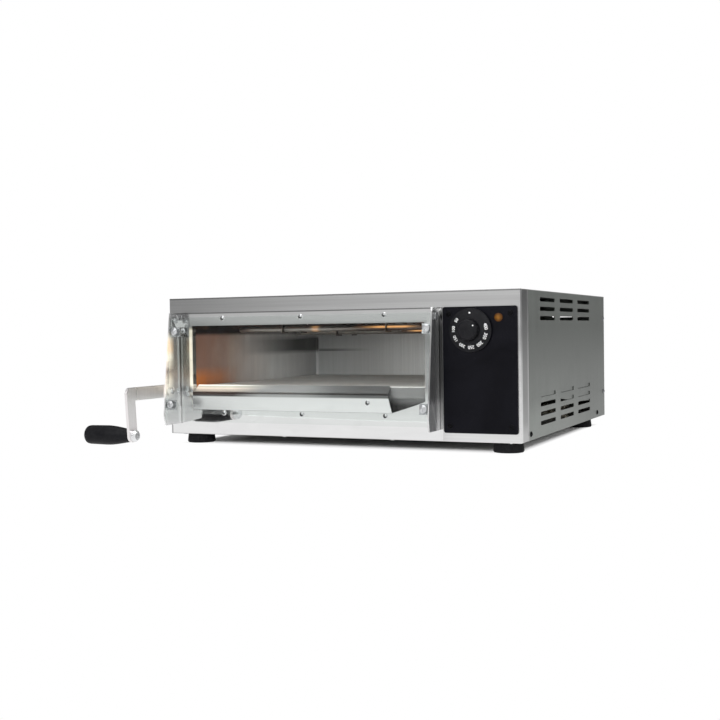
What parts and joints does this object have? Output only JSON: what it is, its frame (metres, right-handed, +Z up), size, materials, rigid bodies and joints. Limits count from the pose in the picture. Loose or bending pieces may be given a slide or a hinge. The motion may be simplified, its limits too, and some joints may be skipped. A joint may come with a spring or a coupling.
{
  "type": "electric pizza maker",
  "caption": "Low countertop electric pizza maker: steel body, stone-floored chamber, lift-up glass door with crank lever, black control panel with knob and lamp.",
  "frame": {"origin": "on the plane that the feet stand on, midway across the whole model from left to right and from front to rear, with the lever and the cable gland counted", "axes": "+Z up, -Y out of the front where the door is, +X towards the side with the control panel"},
  "size_m": [0.5952, 0.635, 0.212],
  "materials": {
    "fascia_steel": "brushed stainless, level grain",
    "cover_steel": "brushed stainless, upright grain",
    "polished_steel": "polished stainless",
    "tray_steel": "mill-finish sheet",
    "chamber_steel": "heat-tinted stainless",
    "bracket_steel": "zinc-plated sheet",
    "mineral_wool": "fibrous blanket",
    "fireclay": "fine porous fireclay",
    "glowing_heater": "glowing tube sheath",
    "heater_sheath": "oxidised tube sheath",
    "black_panel": "satin black",
    "black_plastic": "moulded phenolic",
    "foot_rubber": "moulded rubber",
    "amber_lens": "translucent amber",
    "pale_plastic": "moulded thermoset",
    "zinc_screw": "bright zinc",
    "black_screw": "blackened steel",
    "clear_glass": "clear tempered glass",
    "lever_steel": "satin flat bar"
  },
  "bodies": {
    "oven": {"base_tray": "tray_steel", "front_panel": "fascia_steel", "outer_cover": "cover_steel", "vent_guard": "cover_steel", "rear_panel": "cover_steel", "rear_tabs": "cover_steel", "partition": "tray_steel", "mouth_plate": "polished_steel", "sill_plate": "polished_steel", "sill_support": "bracket_steel", "chamber_liner": "chamber_steel", "insulation": "mineral_wool", "stone_supports": "chamber_steel", "refractory_stone": "fireclay", "upper_heaters": "glowing_heater", "lower_heaters": "heater_sheath", "upper_clips": "chamber_steel", "lower_clips": "chamber_steel", "thermostat_probe": "bracket_steel", "control_panel": "black_panel", "thermostat_body": "pale_plastic", "thermostat_screws": "zinc_screw", "pilot_lamp": "black_plastic", "lamp_lens": "amber_lens", "terminal_block": "pale_plastic", "cable_gland": "black_plastic", "gland_locknut": "black_plastic", "foot_front_left": "foot_rubber", "foot_front_right": "foot_rubber", "foot_rear_left": "foot_rubber", "foot_rear_right": "foot_rubber", "foot_screws": "zinc_screw", "mouth_screws": "zinc_screw", "sill_screw": "zinc_screw", "panel_screws": "black_screw", "side_screws": "black_screw", "base_screws": "zinc_screw", "rear_screws": "zinc_screw", "hinge_brackets": "polished_steel", "hinge_pins": "zinc_screw", "hinge_screws": "zinc_screw"},
    "door": {"cheek_left_plate": "polished_steel", "cheek_right_plate": "polished_steel", "door_glass": "clear_glass", "glass_clamps": "polished_steel", "clamp_bolts": "zinc_screw", "lever_arm": "lever_steel", "lever_bolts": "zinc_screw", "grip_spindle": "zinc_screw"},
    "grip": {"grip": "black_plastic"},
    "knob": {"knob": "black_plastic", "thermostat_shaft": "bracket_steel"}
  },
  "joints": [
    {"name": "door_hinge", "type": "hinge", "parent": "oven", "child": "door", "pos_m": [0, -0.204, 0.179], "axis": [-1, 0, 0], "range_deg": [0, 90]},
    {"name": "grip_spin", "type": "hinge", "parent": "door", "child": "grip", "pos_m": [-0.25442, -0.304, 0.022], "axis": [1, 0, 0], "continuous": true},
    {"name": "knob_turn", "type": "hinge", "parent": "oven", "child": "knob", "pos_m": [0.23064, -0.1915, 0.16011], "axis": [0, 1, 0], "range_deg": [0, 300]}
  ]
}
